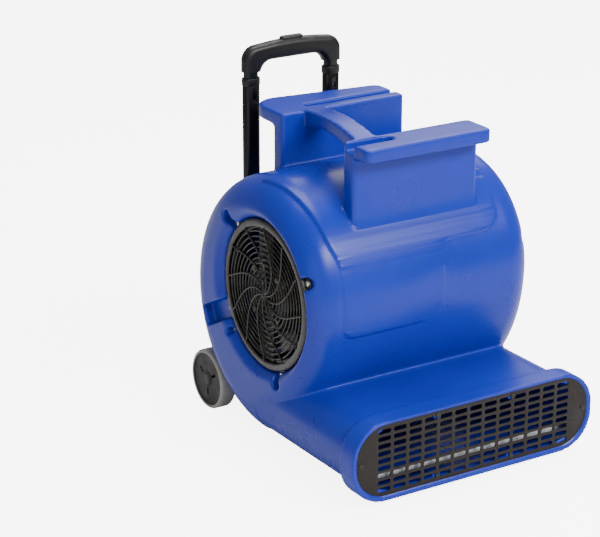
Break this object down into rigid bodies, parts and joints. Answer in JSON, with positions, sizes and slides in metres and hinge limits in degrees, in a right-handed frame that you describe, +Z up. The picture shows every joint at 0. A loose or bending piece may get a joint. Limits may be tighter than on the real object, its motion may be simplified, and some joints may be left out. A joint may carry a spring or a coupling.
{
  "type": "car dryer blower",
  "caption": "Moulded centrifugal floor dryer with wire-guarded side inlets, a wide floor-level outlet grille, cord hooks, carrying handle, wheels and a telescopic pull handle.",
  "frame": {"origin": "on the floor, under the middle of the whole object's box", "axes": "+X along the fan axis, -Y towards the air outlet, +Z up"},
  "size_m": [0.458, 0.552, 0.599],
  "materials": {
    "blue_moulded": "rotationally moulded polyethylene, satin",
    "ring_black": "pressed steel ring, satin black paint",
    "guard_black": "powder-coated wire",
    "zinc": "zinc-plated steel",
    "grille_black": "textured black powder coat",
    "screw_black": "blackened steel",
    "impeller_plastic": "moulded impeller, matte",
    "cast_aluminium": "die-cast, blasted",
    "shaft_steel": "ground steel",
    "rotor_steel": "laminated steel",
    "capacitor_plastic": "moulded can",
    "black_plastic": "fine-textured black plastic",
    "hub_plastic": "dark moulded hub",
    "grey_tyre": "non-marking grey tread",
    "tube_black": "black painted steel tube",
    "grip_plastic": "soft black plastic",
    "spring_steel": "bright wire",
    "foot_rubber": "black rubber"
  },
  "bodies": {
    "body": {"housing": "blue_moulded", "left_inlet_ring": "ring_black", "right_inlet_ring": "ring_black", "left_guard": "guard_black", "right_guard": "guard_black", "left_guard_screws": "zinc", "right_guard_screws": "zinc", "outlet_grille": "grille_black", "grille_screws": "screw_black", "outlet_brace": "zinc", "front_bearing": "shaft_steel", "rear_bearing": "shaft_steel", "stator": "rotor_steel", "front_motor_shield": "cast_aluminium", "rear_motor_shield": "cast_aluminium", "motor_bolts": "zinc", "motor_bracket": "zinc", "bracket_bolts": "zinc", "capacitor": "capacitor_plastic", "capacitor_clip": "zinc", "switch_panel": "black_plastic", "panel_screws": "zinc", "rotary_switch": "black_plastic", "cable_gland": "black_plastic", "axle": "shaft_steel", "wheel_spacers": "black_plastic", "axle_caps": "zinc", "lower_pole_bracket": "black_plastic", "upper_pole_clamp": "black_plastic", "pole_bracket_screws": "zinc", "outer_tubes": "tube_black", "tube_collars": "black_plastic", "rubber_feet": "foot_rubber", "feet_screws": "zinc"},
    "fan": {"impeller": "impeller_plastic", "impeller_hub": "cast_aluminium", "hub_set_screw": "screw_black", "motor_shaft": "shaft_steel", "rotor": "rotor_steel"},
    "knob": {"speed_knob": "black_plastic"},
    "left_wheel": {"left_wheel_hub": "hub_plastic", "left_tyre": "grey_tyre"},
    "right_wheel": {"right_wheel_hub": "hub_plastic", "right_tyre": "grey_tyre"},
    "pull_handle": {"inner_tubes": "tube_black", "handle_grip": "grip_plastic", "button_spring": "spring_steel"},
    "button": {"release_button": "grip_plastic", "release_yoke": "black_plastic", "release_rods": "spring_steel"},
    "pins": {"lock_pins": "spring_steel"}
  },
  "joints": [
    {"name": "fan_spin", "type": "hinge", "parent": "body", "child": "fan", "pos_m": [0, 0.014, 0.256], "axis": [1, 0, 0], "continuous": true},
    {"name": "left_wheel_spin", "type": "hinge", "parent": "body", "child": "left_wheel", "pos_m": [-0.1975, 0.1926, 0.051], "axis": [1, 0, 0], "continuous": true},
    {"name": "right_wheel_spin", "type": "hinge", "parent": "body", "child": "right_wheel", "pos_m": [0.1975, 0.1926, 0.051], "axis": [1, 0, 0], "continuous": true},
    {"name": "handle_slide", "type": "slide", "parent": "body", "child": "pull_handle", "axis": [0, 0, 1], "range_m": [0, 0.28]},
    {"name": "button_press", "type": "slide", "parent": "pull_handle", "child": "button", "axis": [0, 0, -1], "range_m": [0, 0.004], "stiffness_N_per_m": 600, "springref_m": -0.004, "deforming": ["button_spring"]},
    {"name": "pin_slide", "type": "slide", "parent": "pull_handle", "child": "pins", "axis": [0, 1, 0], "range_m": [0, 0.0024]},
    {"name": "speed_turn", "type": "hinge", "parent": "body", "child": "knob", "pos_m": [0, 0.262, 0.246], "axis": [0, 1, 0], "range_deg": [0, 135]}
  ],
  "couplings": [
    {"joint": "pin_slide", "follows": "button_press", "ratio": 0.6}
  ]
}
